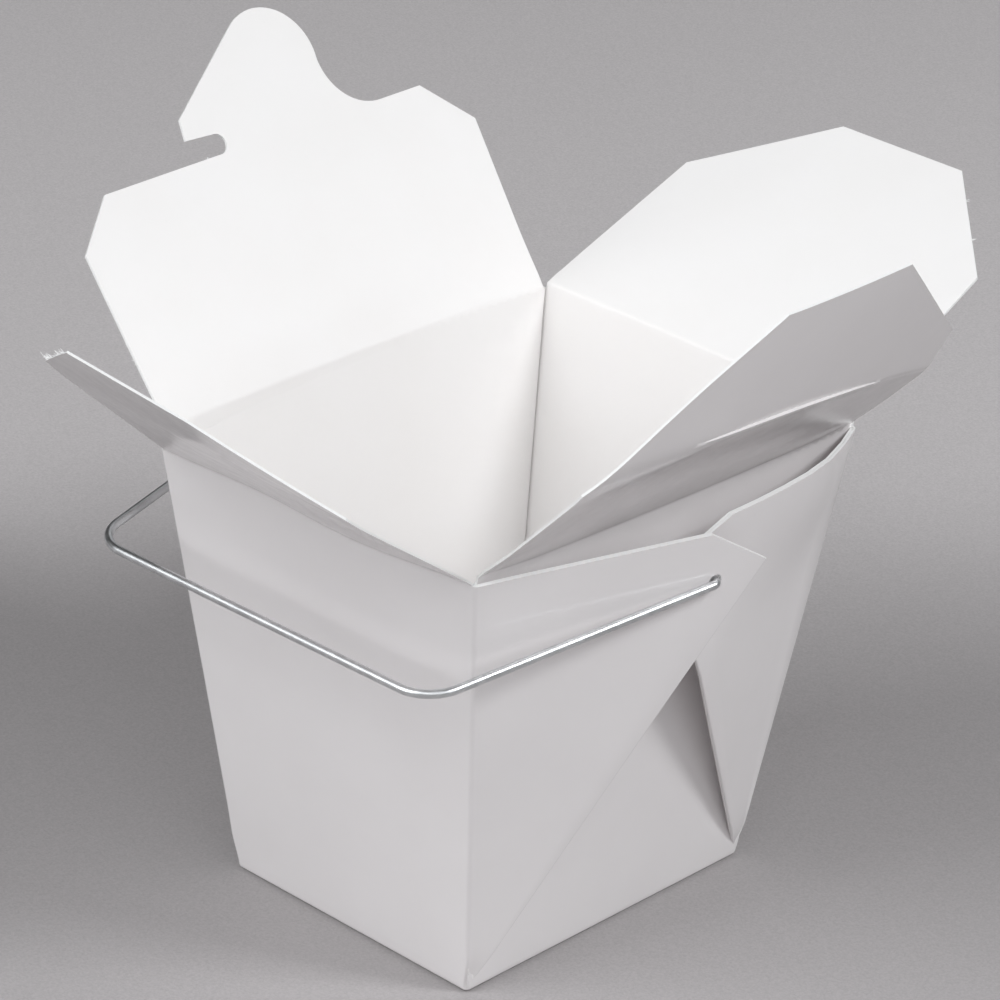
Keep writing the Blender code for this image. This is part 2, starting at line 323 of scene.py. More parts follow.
def coated_board():
    """Clay-coated outer face: cool white, satin, with a fine calendered grain."""
    n = Nodes("coated_board")
    cloud = n.remap(n.noise(38, 3), 0.35, 0.65, 0, 1)
    grain = n.noise(2600, 2, 0.6)
    colour = n.blend(cloud, (0.872, 0.842, 0.842), (0.895, 0.866, 0.866))
    speck = n.remap(n.noise(900, 4, 0.7), 0.66, 0.8, 0, 0.35)
    colour = n.blend(speck, colour, (0.79, 0.76, 0.755))
    n.link(colour, n.shader.inputs["Base Color"])
    n.link(n.remap(n.noise(260, 4), 0.3, 0.7, 0.12, 0.18), n.shader.inputs["Roughness"])
    fibre = n.noise(900, 3, 0.6, n.stretched((1.0, 1.0, 0.25)))
    normal = n.bump(fibre, 0.012 * MM, 0.5)
    n.link(n.bump(grain, 0.006 * MM, 0.5, normal), n.shader.inputs["Normal"])
    return n.material


def plain_board():
    """Uncoated inner face: warmer white, matt, with a visible felt of fibres."""
    n = Nodes("plain_board")
    cloud = n.remap(n.noise(55, 4), 0.35, 0.65, 0, 1)
    colour = n.blend(cloud, (0.962, 0.94, 0.928), (0.976, 0.956, 0.947))
    fleck = n.remap(n.noise(1100, 4, 0.75), 0.64, 0.8, 0, 0.4)
    colour = n.blend(fleck, colour, (0.86, 0.84, 0.82))
    n.link(colour, n.shader.inputs["Base Color"])
    n.link(n.remap(n.noise(400, 4), 0.3, 0.7, 0.56, 0.68), n.shader.inputs["Roughness"])
    felt = n.noise(1500, 4, 0.65, n.stretched((1.0, 1.0, 0.4)))
    n.link(n.bump(felt, 0.02 * MM, 0.6), n.shader.inputs["Normal"])
    return n.material


def cut_board():
    """Cut edge: raw, bright and fibrous, its plies running along the edge."""
    n = Nodes("cut_board")
    ply = n.noise(2400, 3, 0.6)
    n.link(n.blend(ply, (0.91, 0.90, 0.89), (0.965, 0.965, 0.96)), n.shader.inputs["Base Color"])
    n.link(n.remap(ply, 0.3, 0.7, 0.7, 0.85), n.shader.inputs["Roughness"])
    n.link(n.bump(n.noise(5000, 3, 0.7), 0.03 * MM, 0.7), n.shader.inputs["Normal"])
    return n.material


def galvanised_wire():
    """Drawn galvanised wire: bright zinc with a faint spangle, dulled patches and draw lines."""
    n = Nodes("galvanised_wire")
    n.set(Metallic=1.0)
    patch = n.remap(n.noise(320, 4, 0.6), 0.4, 0.62, 0, 1)
    colour = n.blend(patch, (0.78, 0.79, 0.80), (0.66, 0.67, 0.68))
    fleck = n.remap(n.noise(2600, 3, 0.6), 0.6, 0.72, 0, 0.6)
    colour = n.blend(fleck, colour, (0.88, 0.89, 0.89))
    n.link(colour, n.shader.inputs["Base Color"])
    n.link(n.remap(n.noise(700, 4, 0.6), 0.3, 0.7, 0.32, 0.48), n.shader.inputs["Roughness"])
    n.link(n.bump(n.noise(1800, 3, 0.6), 0.02 * MM, 0.6), n.shader.inputs["Normal"])
    return n.material


def studio_floor():
    """Matt pale grey paper with a fine tooth; painted light makes its colour grow softly paler beyond the
    pail.
    """
    n = Nodes("studio_floor")
    depth = n.add("ShaderNodeVectorMath", operation="DOT_PRODUCT")
    n.link(n.place, depth.inputs[0])
    depth.inputs[1].default_value = (-math.sin(PAINTED_LIGHT_HEADING), math.cos(PAINTED_LIGHT_HEADING), 0)
    # Painted light: the colour is darker near the pail and paler beyond it along this heading, standing in
    # for the fall of the studio light.
    fade = n.add("ShaderNodeMapRange", interpolation_type="SMOOTHSTEP")
    fade.inputs["From Min"].default_value = FLOOR_PAINTED_LIGHT[0]
    fade.inputs["From Max"].default_value = FLOOR_PAINTED_LIGHT[1]
    n.link(depth.outputs["Value"], fade.inputs["Value"])
    colour = n.blend(fade.outputs["Result"], (0.422, 0.4, 0.402), (0.615, 0.584, 0.586))
    tooth = n.noise(FLOOR_TOOTH, 3, 0.7)
    speck = n.remap(tooth, 0.3, 0.7, 0.9, 1.1)
    tinted = n.add("ShaderNodeVectorMath", operation="SCALE")
    n.link(colour, tinted.inputs[0])
    n.link(speck, tinted.inputs["Scale"])
    n.link(tinted.outputs["Vector"], n.shader.inputs["Base Color"])
    n.set(Roughness=0.9)
    n.link(n.bump(tooth, 0.05 * MM, 0.4), n.shader.inputs["Normal"])
    return n.material


# ---------------------------------------------------------------- sheet tools

BOARD_SHARP = 40
FIBRE_SHARP = 60
WIRE_SHARP = 50


def store_mesh(name, bm, materials):
    mesh = bpy.data.meshes.new(name)
    bm.to_mesh(mesh)
    bm.free()
    for material in materials:
        mesh.materials.append(material)
    obj = bpy.data.objects.new(name, mesh)
    bpy.context.scene.collection.objects.link(obj)
    return obj


def bake_modifiers(obj):
    """Keep the modifiers' result as the object's own mesh."""
    graph = bpy.context.evaluated_depsgraph_get()
    mesh = bpy.data.meshes.new_from_object(obj.evaluated_get(graph))
    mesh.name = obj.name
    obj.modifiers.clear()
    obj.data = mesh


def thicken(obj):
    """Give a sheet its board thickness: outer face, inner face and cut edge each in its own material."""
    solid = obj.modifiers.new("board", 'SOLIDIFY')
    solid.thickness = BOARD
    solid.offset = 0.0
    solid.use_quality_normals = True
    solid.material_offset = 1
    solid.material_offset_rim = 2


def shade(obj, angle):
    obj.data.shade_smooth()
    obj.data.set_sharp_from_angle(angle=math.radians(angle))


# ---------------------------------------------------------------- folded body

def bulge_at(bulge, away):
    """Smooth curve through the bulge's places, in metres."""
    distance = away / MM
    if distance >= bulge[-1][0]:
        return bulge[-1][1] * MM
    k = next(i for i in range(len(bulge) - 1) if distance <= bulge[i + 1][0])
    (a, low), (b, high) = bulge[k], bulge[k + 1]
    before, after = bulge[max(k - 1, 0)], bulge[min(k + 2, len(bulge) - 1)]
    rise_a = (high - before[1]) / (b - before[0]) * (b - a)
    rise_b = (after[1] - low) / (after[0] - a) * (b - a)
    t = (distance - a) / (b - a)
    ease = smooth(t)
    return (mix(low, high, ease) + rise_a * t * (1 - t) ** 2 - rise_b * t ** 2 * (1 - t)) * MM


class Corner:
    """Axes of the front right corner edge; the other three corners are its mirror images."""

    def __init__(self, swing, bulge=None, trim=0.0):
        self.swing = swing
        self.bulge = bulge
        self.foot = Vector((BASE_HALF_X, -BASE_HALF_Y, 0.0))
        top = Vector((wall_half_x(RIM_Z), -wall_half_y(RIM_Z), RIM_Z))
        self.length = (top - self.foot).length
        self.along = (top - self.foot).normalized()
        self.across = (Vector((0, 1, 0)) - self.along * self.along.y).normalized()
        self.outward = self.across.cross(self.along)
        front = Vector((1, 0, 0)) - self.along * self.along.x
        self.front_heading = math.atan2(front.dot(self.outward), front.dot(self.across))
        self.away = self.across * math.cos(swing) + self.outward * math.sin(swing)
        self.inward = self.across * math.sin(swing) - self.outward * math.cos(swing)

        crease = Vector((math.cos(PLEAT_WEDGE), math.sin(PLEAT_WEDGE)))
        self.tip = crease * PLEAT_CREASE
        self.apex = self.tip + Vector((crease.y, -crease.x)) * PLEAT_TIP_CUT
        self.apex += (Vector((self.length, 0)) - self.apex).normalized() * trim
        self.apex_angle = math.atan2(self.apex.y, self.apex.x)

    def beside(self, reach, offset):
        """Point beside the edge at one height, offset across and outward."""
        edge = self.foot + self.along * reach
        point = edge + self.across * offset.x + self.outward * offset.y
        return point - self.along * ((point.z - edge.z) / self.along.z)

    def top_reach(self, angle):
        """Distance from the foot to the pleat's top edge along one ray of its fan."""
        ray = Vector((math.cos(angle), math.sin(angle)))
        if angle <= self.apex_angle:
            start, end = Vector((self.length, 0)), self.apex
        else:
            start, end = self.apex, self.tip
        side = end - start
        return (start.x * side.y - start.y * side.x) / (ray.x * side.y - ray.y * side.x)

    def stance(self, share, angle):
        """Across and outward place of one ray's point on the pleat's outer face."""
        away = self.top_reach(angle) * math.sin(angle)
        if not self.bulge:
            return Vector((math.cos(self.swing), math.sin(self.swing))) * away * share
        low = away * math.sin(BACK_PLEAT_LOW_SWING)
        out = mix(low, bulge_at(self.bulge, away), smooth((share - PLEAT_PUSH[0]) / PLEAT_PUSH[1]))
        return Vector((math.sqrt(max(away ** 2 - out ** 2, 0.0)), out)) * share

    def on_pleat(self, share, angle, depth, past=0.0):
        """Point on the pleat at a share of its ray, sunk inward by depth and moved past the ray."""
        run = (self.stance(share, angle) - self.stance(share, angle - RAY_NUDGE)).normalized()
        place = self.stance(share, angle) + run * math.cos(angle) * past + Vector((run.y, -run.x)) * depth
        reach = self.top_reach(angle) * math.cos(angle) * share - math.sin(angle) * past
        return self.foot + self.along * reach + self.across * place.x + self.outward * place.y

    def section(self, share):
        """One cross-section, from the front wall round both layers of the pleat to the side wall."""
        reach = self.length * share
        squeeze = min(max(reach / SQUEEZE_REACH, SQUEEZE_LEAST), 1.0)
        points = self.outer_bend(reach, squeeze)
        fan = [self.apex_angle * k / PLEAT_FAN for k in range(1, PLEAT_FAN + 1)]
        fan.append((self.apex_angle + PLEAT_WEDGE) / 2)
        fold = (BOARD + LAYER_GAP) / 2
        deep = 1.5 * BOARD + LAYER_GAP
        points += [self.on_pleat(share, angle, BOARD / 2) for angle in fan]
        for k in range(FOLD_STEPS + 1):
            turn = math.pi * k / FOLD_STEPS
            depth = BOARD / 2 + fold * (1 - math.cos(turn))
            points.append(self.on_pleat(share, PLEAT_WEDGE, depth, fold * (math.sin(turn) - 1)))
        points += [self.on_pleat(share, angle, deep) for angle in reversed(fan)]
        return points + self.inner_bend(reach, squeeze, deep)

    def outer_bend(self, reach, squeeze):
        """Round turn from the front wall to the pleat's outer layer."""
        radius = CORNER_RADIUS * squeeze
        first = Vector((math.sin(self.front_heading), -math.cos(self.front_heading)))
        last = Vector((math.sin(self.swing), -math.cos(self.swing)))
        centre = (first + last) * (radius / (1 + first.dot(last)))
        points = []
        for k in range(BEND_STEPS + 1):
            heading = mix(self.front_heading, self.swing, k / BEND_STEPS)
            side = Vector((math.sin(heading), -math.cos(heading)))
            points.append(self.beside(reach, centre - side * (radius - BOARD / 2)))
        return points

    def inner_bend(self, reach, squeeze, deep):
        """Tight turn from the pleat's inner layer back into the side wall, which then settles."""
        away = Vector((math.cos(self.swing), math.sin(self.swing)))
        inward = Vector((math.sin(self.swing), -math.cos(self.swing)))
        radius = INNER_FOLD_RADIUS * squeeze
        centre = away * (INNER_FOLD_START * squeeze) + inward * (deep * squeeze + radius)
        points = []
        for k in range(TUCK_STEPS + 1):
            heading = mix(self.swing + math.pi, 2 * math.pi, k / TUCK_STEPS)
            end = centre + Vector((math.sin(heading), -math.cos(heading))) * radius
            points.append(self.beside(reach, end))
        for step in SETTLE_STEPS:
            across = end.x + SIDE_SETTLE * squeeze * step
            points.append(self.beside(reach, Vector((across, mix(end.y, -BOARD / 2, smooth(step))))))
        return points


def mirrored(points, sign_x, sign_y):
    """Mirror a corner's run of points, keeping the counterclockwise order around the body."""
    moved = [Vector((p.x * sign_x, p.y * sign_y, p.z)) for p in points]
    return moved if sign_x * sign_y > 0 else moved[::-1]


def between(start, end, steps):
    return [start.lerp(end, k / steps) for k in range(1, steps)]


def closed_ring(front_right, back_right, back_left, front_left):
    """Ring of points round the body, starting at the left end of the front wall."""
    ring = between(front_left[-1], front_right[0], FRONT_STEPS) + front_right
    ring += between(front_right[-1], back_right[0], SIDE_STEPS) + back_right
    ring += between(back_right[-1], back_left[0], FRONT_STEPS) + back_left
    ring += between(back_left[-1], front_left[0], SIDE_STEPS) + front_left
    return ring


def folded_ring(front, back, share):
    front_run, back_run = front.section(share), back.section(share)
    return closed_ring(mirrored(front_run, 1, 1), mirrored(back_run, 1, -1),
                       mirrored(back_run, -1, -1), mirrored(front_run, -1, 1))


def base_ring(count, inset, z):
    """Rounded rectangle under the walls, with as many corner points as a folded corner has."""
    half_x = wall_half_x(z) - BOARD / 2
    half_y = wall_half_y(z) - BOARD / 2
    radius = BASE_CORNER_RADIUS
    run = []
    for k in range(count):
        angle = math.radians(-90 + 90 * k / (count - 1))
        offset = Vector((math.cos(angle), math.sin(angle), 0)) * (radius - inset)
        run.append(Vector((half_x - radius, radius - half_y, z)) + offset)
    return closed_ring(*(mirrored(run, sx, sy) for sx, sy in ((1, 1), (1, -1), (-1, -1), (-1, 1))))


def wall_bow(point):
    """Bow that the board's own spring gives each wall, and its twist of the mouth."""
    half_x, half_y = wall_half_x(point.z), wall_half_y(point.z)
    height = point.z / RIM_Z
    across = min(max(point.x / half_x, -1.0), 1.0)
    deep = min(max(point.y / half_y, -1.0), 1.0)
    on_front = abs(point.y) > half_y - 3 * BOARD and abs(point.x) < half_x - CORNER_RADIUS
    on_side = half_x - 3 * BOARD < abs(point.x) < half_x + BOARD
    move = Vector((0, 0, rim_rise(across, deep) * height ** 2))
    move += FOOT_SPREAD * ((1 + across) * (1 - deep) / 4 * (1 - height))
    if on_front:
        skew = FRONT_BOW_SKEW if point.y < 0 else 0.0
        amount = FRONT_BOW if point.y < 0 else BACK_BOW
        amount *= math.cos(math.pi / 2 * across) * (1 + skew * math.sin(math.pi * across))
        move.y += math.copysign(amount * height ** 2, point.y)
    elif on_side:
        amount = SLOT_SIDE_BOW if point.x > 0 else TAB_SIDE_BOW
        move.x += math.copysign(amount * math.cos(math.pi / 2 * deep) * height ** 2, point.x)
    return move


def rim_rise(across, deep):
    """Rise of the twisted mouth at a place between its corners, each share from -1 to 1."""
    return sum(rise * (1 + across * sx) * (1 + deep * sy) / 4 for (sx, sy), rise in RIM_RISE.items())


def body_rings():
    """All rings from the base's edge to the top edges, and the topmost one for the flaps."""
    front = Corner(FRONT_PLEAT_SWING)
    back = Corner(BACK_PLEAT_SWING, BACK_PLEAT_BULGE, BACK_PLEAT_TRIM)
    count = len(front.section(1.0))
    low_z = BOARD / 2 + BASE_RADIUS
    low_share = low_z / RIM_Z
    rings = []
    for k in range(BASE_STEPS, 0, -1):
        turn = math.pi / 2 * k / BASE_STEPS
        inset = BASE_RADIUS * (1 - math.cos(turn))
        rings.append(base_ring(count, inset, BOARD / 2 + BASE_RADIUS * (1 - math.sin(turn))))
    lowest = base_ring(count, 0.0, low_z)
    rings.append(lowest)
    rings = [[p + wall_bow(p) for p in ring] for ring in rings]
    start = folded_ring(front, back, low_share)
    shares = list(LOW_SHARES)
    shares += [mix(LOW_SHARES[-1], 1.0, k / HIGH_ROWS) for k in range(1, HIGH_ROWS + 1)]
    for share in shares:
        reach = (share - low_share) * front.length
        fade = 1 - smooth(reach / FOOT_FADE)
        ring = folded_ring(front, back, share)
        ring = [p + (low - first) * fade for p, low, first in zip(ring, lowest, start)]
        rings.append([p + wall_bow(p) for p in ring])
    return rings


def loft_rings(rings):
    """Sheet through closed rings, its faces pointing away from the body, closed below by the base."""
    bm = bmesh.new()
    rows = [[bm.verts.new(p) for p in ring] for ring in rings]
    count = len(rows[0])
    for low, high in zip(rows, rows[1:]):
        for i in range(count):
            j = (i + 1) % count
            bm.faces.new((low[i], low[j], high[j], high[i]))
    bm.faces.new(rows[0][::-1])
    return bm


def hole_cutter(sign_x, axis_y, axis_z):
    """Cylinder that punches one side's pleats but stops short of the wall behind them."""
    inner = wall_half_x(axis_z) + PUNCH_START
    outer = BAIL_HOLE_X + PUNCH_PAST
    bm = bmesh.new()
    place = Matrix.Translation((sign_x * (inner + outer) / 2, axis_y, axis_z))
    bmesh.ops.create_cone(bm, cap_ends=True, segments=BAIL_HOLE_SIDES, radius1=BAIL_HOLE_RADIUS,
                          radius2=BAIL_HOLE_RADIUS, depth=outer - inner,
                          matrix=place @ Matrix.Rotation(math.pi / 2, 4, 'Y'))
    return bm


def make_body(materials, rings):
    """Base, walls and pleats, with the bail's punched holes."""
    body = store_mesh("tub_board", loft_rings(rings), materials)
    thicken(body)
    bake_modifiers(body)
    axis = JOINTS["bail_swing"]["pos_m"]
    cutters = []
    for sign_x in (1, -1):
        cutter = store_mesh("hole_cutter", hole_cutter(sign_x, axis[1], axis[2]), [materials[2]])
        punch = body.modifiers.new("punch", 'BOOLEAN')
        punch.operation = 'DIFFERENCE'
        punch.solver = 'MANIFOLD'
        punch.material_mode = 'TRANSFER'
        punch.object = cutter
        cutters.append(cutter)
    bake_modifiers(body)
    for cutter in cutters:
        bpy.data.objects.remove(cutter, do_unlink=True)
    shade(body, BOARD_SHARP)
    return body


# ---------------------------------------------------------------- lid flaps

def arc(centre, radius, start, end):
    """Points on an arc from one angle to another, both ends included."""
    steps = max(2, math.ceil(abs(end - start) / ARC_STEP))
    angles = [mix(start, end, i / steps) for i in range(steps + 1)]
    return [centre + Vector((math.cos(a), math.sin(a))) * radius for a in angles]


def mirrored_outline(points):
    right = [Vector(point) for point in points]
    return right + [Vector((-point.x, point.y)) for point in reversed(right)]


def tab_flap_outline():
    """Wide flap with a round-headed tab, undercut on one flank by the hook notch."""
    head_to_hollow = TAB_HOLLOW - TAB_HEAD
    meet = math.atan2(head_to_hollow.y, head_to_hollow.x) % (2 * math.pi)
    notch_centre = Vector((HOOK_NOTCH_END_X, TAB_EDGE[1] + HOOK_NOTCH_RADIUS))
    points = [Vector((WIDE_ROOT_HALF, 0)), Vector(TAB_SHOULDER), Vector(TAB_EDGE)]
    points += arc(notch_centre, HOOK_NOTCH_RADIUS, -math.pi / 2, -3 * math.pi / 2)
    points += TAB_FLANK
    points += arc(TAB_HEAD, TAB_HEAD_RADIUS, TAB_HEAD_START, meet)
    points += arc(TAB_HOLLOW, TAB_HOLLOW_RADIUS, meet - math.pi, -math.pi / 2)
    points += [Vector((-TAB_EDGE[0], TAB_EDGE[1])), Vector((-TAB_SHOULDER[0], TAB_SHOULDER[1]))]
    points.append(Vector((-WIDE_ROOT_HALF, 0)))
    return points


def slit_outline():
    """Thin lens along the slit, pointed at both ends."""
    low, high = SLIT_POINTS[0].x, SLIT_POINTS[2].x
    stations = [mix(low, high, k / SLIT_STEPS) for k in range(SLIT_STEPS + 1)]
    spine = [Vector((x, slit_at(x))) for x in stations]
    offset = Vector((0, SLIT_HALF_WIDTH))
    upper = [point + offset for point in spine[1:-1]]
    lower = [point - offset for point in spine[1:-1]]
    return [spine[0], *upper, spine[-1], *reversed(lower)]


def inside(point, outline):
    """Whether a point lies within a closed outline, by the even-odd rule."""
    found = False
    for a, b in zip(outline, outline[1:] + outline[:1]):
        if (a.y > point.y) != (b.y > point.y):
            if point.x < a.x + (b.x - a.x) * (point.y - a.y) / (b.y - a.y):
                found = not found
    return found


def distance_to(point, outline):
    best = 1.0
    for a, b in zip(outline, outline[1:] + outline[:1]):
        side = b - a
        t = min(max((point - a).dot(side) / max(side.length_squared, 1e-12), 0.0), 1.0)
        best = min(best, (point - a - side * t).length)
    return best


def dense_outline(outline, step):
    points = []
    for a, b in zip(outline, outline[1:] + outline[:1]):
        count = max(1, math.ceil((b - a).length / step))
        points += [a.lerp(b, k / count) for k in range(count)]
    return points


def flat_sheet(outline, holes, extra=()):
    """Triangulate a flat outline with holes over an even grid, with close rows at the crease."""
    loops = [dense_outline(outline, GRID_STEP)] + [dense_outline(hole, GRID_STEP / 2) for hole in holes]
    verts, edges = [], []
    for loop in loops:
        start = len(verts)
        verts += loop
        edges += [(start + i, start + (i + 1) % len(loop)) for i in range(len(loop))]
    low_x, high_x = min(p.x for p in outline), max(p.x for p in outline)
    top = max(p.y for p in outline)
    columns = math.ceil((high_x - low_x) / GRID_STEP)
    rows = [row * MM for row in CREASE_ROWS]
    while rows[-1] < top:
        rows.append(rows[-1] + GRID_STEP * GRID_ROW_SHARE)
    for row in rows:
        for k in range(columns + 1):
            point = Vector((mix(low_x, high_x, k / columns), row))
            near = GRID_STEP * GRID_CLEAR_SHARE if row > CREASE_ROWS_END else CREASE_CLEAR
            if any(abs(point.x - o.x) < GRID_STEP and abs(point.y - o.y) < BEND_ROW_REACH for o in extra):
                continue
            if inside(point, outline) and all(distance_to(point, loop) > near for loop in loops):
                verts.append(point)
    for point in extra:
        if inside(point, outline) and all(distance_to(point, loop) > BEND_ROW_CLEAR for loop in loops):
            verts.append(point)
    points, _, faces, *_ = delaunay_2d_cdt(verts, edges, [], 5, 1e-7)
    return points, faces


def slit_at(along):
    """Height of the slit's arc, or of the score that carries it on, at one place along the crease."""
    first, middle, last = SLIT_POINTS
    along = max(along, first.x - SCORE_LEFT_REACH)
    total = 0.0
    for a, b, c in ((first, middle, last), (middle, first, last), (last, first, middle)):
        total += a.y * (along - b.x) * (along - c.x) / ((a.x - b.x) * (a.x - c.x))
    return total


class Flap:
    """A lid flap: where its crease lies, how it leans, and how its board curves."""

    def __init__(self, name, joint, heading, outline, crease_z, near, far, lean, holes=(), lip=0.0):
        self.name = name
        self.joint = JOINTS[joint]
        self.hinge = Vector(self.joint["pos_m"])
        turn = Matrix.Rotation(heading, 3, 'Z')
        self.crease = turn @ Vector((1, 0, 0))
        self.inward = turn @ Vector((0, 1, 0))
        self.outline = outline
        self.half = outline[0].x
        self.crease_z = crease_z
        self.near = near
        self.far = far
        self.lean = lean
        self.holes = list(holes)
        self.lip = lip

    def tilt(self, along, away):
        """Tilt outward from upright at one place of the board."""
        share = along / self.half
        near = math.radians(self.near[0] + self.near[1] * share)
        far = math.radians(self.far[0] + self.far[1] * share)
        risen = mix(self.lean, near, smooth((away + CREASE_BEND / 2) / CREASE_BEND))
        start, length = self.curl(along)
        return mix(risen, far, smooth((away - start) / length))

    def curl(self, along):
        """Where the board's curl starts above the crease, and over what length it turns."""
        if not self.lip:
            return CURL_START, CURL_LENGTH
        free = smooth((KINK_END - along) / KINK_FADE)
        length = mix(KINK_LENGTH, CURL_LENGTH, free)
        return mix(slit_at(along), CURL_START + CURL_LENGTH / 2, free) - length / 2, length

    def crease_point(self, along):
        low, high = self.crease_z[1], self.crease_z[0]
        point = self.hinge + self.crease * along
        point.z = mix(low, high, (along / self.half + 1) / 2)
        return point

    def run(self, along, away):
        """Point reached from the crease by going up or down the board."""
        point = self.crease_point(along)
        steps = max(2, math.ceil(abs(away) / RUN_STEP))
        if abs(away) < NEAR_CREASE:
            steps = NEAR_CREASE_STEPS
        for k in range(steps):
            tilt = self.tilt(along, away * (k + 0.5) / steps)
            heading = Vector((0, 0, 1)) * math.cos(tilt) - self.inward * math.sin(tilt)
            point += heading * (away / steps)
        return point

    def wall_top(self, ring):
        """The run of the top ring that lies on this flap's own wall, with its places along the crease."""
        spots = []
        for p in ring:
            offset = p - self.hinge
            spots.append((offset.dot(self.crease), abs(offset.dot(self.inward)), p))
        near = [i for i, spot in enumerate(spots) if spot[1] < RIM_REACH]
        middle = min(near, key=lambda i: abs(spots[i][0]))
        run = [spots[middle]]
        for step in (1, -1):
            sign = 0
            i = middle
            while True:
                ahead = spots[(i + step) % len(spots)]
                gain = ahead[0] - spots[i % len(spots)][0]
                sign = sign or math.copysign(1, gain)
                if gain * sign < 1e-7 or ahead[1] > RIM_REACH:
                    break
                i += step
                run.append(ahead)
        return sorted(((along, p) for along, _, p in run), key=lambda item: item[0])

    def rim_point(self, along, rim):
        """Place on the wall's top edge at one distance along the crease."""
        for (a, start), (b, end) in zip(rim, rim[1:]):
            if a <= along <= b:
                return start.lerp(end, (along - a) / (b - a))
        return rim[0][1] if along < rim[0][0] else rim[-1][1]

    def join(self, along, rim):
        """Height of board between the wall's top edge and the crease."""
        return (self.crease_point(along).z - self.rim_point(along, rim).z) / math.cos(self.lean)

    def place(self, point, rim):
        """Carry a flat outline point to its place in space, joined to the wall's top edge."""
        along, away = point
        join = self.join(along, rim)
        shift = self.rim_point(along, rim) - self.run(along, -join)
        settle = 1 - smooth((away + join) / CREASE_SETTLE)
        placed = self.run(along, away) + shift * settle
        if self.lip:
            placed -= self.inward * self.lip_height(point)
        return placed

    def bend_rows(self):
        """Close rows of points along the slit and its score, where the board bends sharply."""
        if not self.lip:
            return []
        count = math.ceil(2 * self.half / BEND_ROW_STEP)
        columns = [mix(-self.half, self.half, k / count) for k in range(count + 1)]
        return [Vector((x, slit_at(x) + row * MM)) for x in columns for row in BEND_ROWS]

    def lip_height(self, point):
        """How far the board stands out below the slit, and the score's shallow groove beyond it."""
        gap = point.y - slit_at(point.x)
        if point.x > SLIT_POINTS[2].x:
            return -SCORE_DEPTH * math.exp(-(gap / SCORE_WIDTH) ** 2)
        share = (point.x - SLIT_POINTS[0].x) / (SLIT_POINTS[2].x - SLIT_POINTS[0].x)
        window = math.sin(math.pi * min(max(share, 0.0), 1.0)) ** LIP_ROUNDING
        if gap < 0:
            return self.lip * window * math.exp(gap / LIP_REACH)
        return -self.lip * LIP_DIP_SHARE * window * math.exp(-gap / LIP_REACH)

    def make(self, rings, materials):
        rim = self.wall_top(rings[-1])
        ends = [Vector((along, -self.join(along, rim))) for along in (self.half, -self.half)]
        outline = [ends[0]] + self.outline + [ends[1]]
        points, faces = flat_sheet(outline, self.holes, self.bend_rows())
        bm = bmesh.new()
        verts = [bm.verts.new(self.place(p, rim)) for p in points]
        for face in faces:
            bm.faces.new([verts[i] for i in face])
        bmesh.ops.recalc_face_normals(bm, faces=bm.faces[:])
        outside = sum(f.normal.dot(self.inward) for f in bm.faces)
        if outside > 0:
            bmesh.ops.reverse_faces(bm, faces=bm.faces[:])
        obj = store_mesh(self.name, bm, materials)
        thicken(obj)
        bake_modifiers(obj)
        shade(obj, BOARD_SHARP)
        return obj


def flap_list():
    front = mirrored_outline(((PLAIN_ROOT_HALF, 0), FRONT_SHOULDER, FRONT_END))
    back = mirrored_outline(((PLAIN_ROOT_HALF, 0), BACK_SHOULDER, BACK_END))
    slotted = mirrored_outline(((WIDE_ROOT_HALF, 0), SLOT_SHOULDER, SLOT_END))
    front_lean, side_lean = math.atan(FLARE_Y), math.atan(FLARE_X)
    quarter = math.pi / 2
    return [
        Flap("front_flap_board", "front_flap_crease", 0.0, front, (85.5 * MM, 83.6 * MM),
             (51.9, 3.2), (47.5, 3.0), front_lean),
        Flap("back_flap_board", "back_flap_crease", math.pi, back, (85.95 * MM, 85.9 * MM),
             (66.5, 1.1), (66.5, 1.1), front_lean),
        Flap("slot_flap_board", "slot_flap_crease", quarter, slotted, (84.85 * MM, 86.4 * MM),
             (43.4, 0.0), (24.8, 2.4), side_lean, (slit_outline(),), LIP),
        Flap("tab_flap_board", "tab_flap_crease", -quarter, tab_flap_outline(), (86.7 * MM, 85.5 * MM),
             (36.9, 0.7), (36.9, 0.7), side_lean),
    ]


# ---------------------------------------------------------------- torn fibres

class Tuft:
    """A run of torn fibres along a stretch of a flap's cut edge."""

    def __init__(self, start, end, count, length, radius, heading, spread):
        self.start = Vector(start) * MM
        self.end = Vector(end) * MM
        self.count = count
        self.length = length * MM
        self.radius = radius * MM
        self.heading = math.radians(heading)
        self.spread = math.radians(spread)


TUFTS = {
    "front_flap_board": (
        Tuft((-36.3, 38.2), (-30.0, 44.3), 9, 2.0, 0.12, 168, 16),
        Tuft((-30.0, 44.3), (-17.0, 57.0), 13, 1.3, 0.09, 160, 40),
    ),
    "back_flap_board": (
        Tuft((-19.8, 52.7), (-20.2, 52.4), 4, 0.9, 0.07, 140, 22),
        Tuft((-27.4, 45.2), (-27.8, 44.8), 4, 1.0, 0.07, 146, 22),
        Tuft((20.5, 51.9), (21.2, 51.3), 3, 0.5, 0.05, 50, 30),
    ),
    "slot_flap_board": (
        Tuft((-10.8, 34.5), (-3.0, 33.9), 46, 1.1, 0.055, 12, 16),
        Tuft((-14.6, 34.9), (-12.6, 34.7), 9, 0.8, 0.05, 150, 40),
        Tuft((28.2, 50.2), (28.6, 49.8), 3, 0.7, 0.04, 60, 30),
        Tuft((47.2, 15.2), (47.3, 14.6), 3, 0.5, 0.06, 0, 30),
    ),
    "tab_flap_board": (
        Tuft((47.5, 16.0), (47.6, 12.0), 10, 0.5, 0.05, 0, 40),
        Tuft((13.4, 41.5), (15.2, 41.6), 6, 0.5, 0.05, 100, 50),
    ),
}
FIBRE_SIDES = 5
FIBRE_STEPS = 4
FIBRE_CURL = 0.9
FIBRE_RISE = 0.35
FIBRE_LENGTHS = (0.6, 1.1)
FIBRE_RADII = (0.7, 1.2)
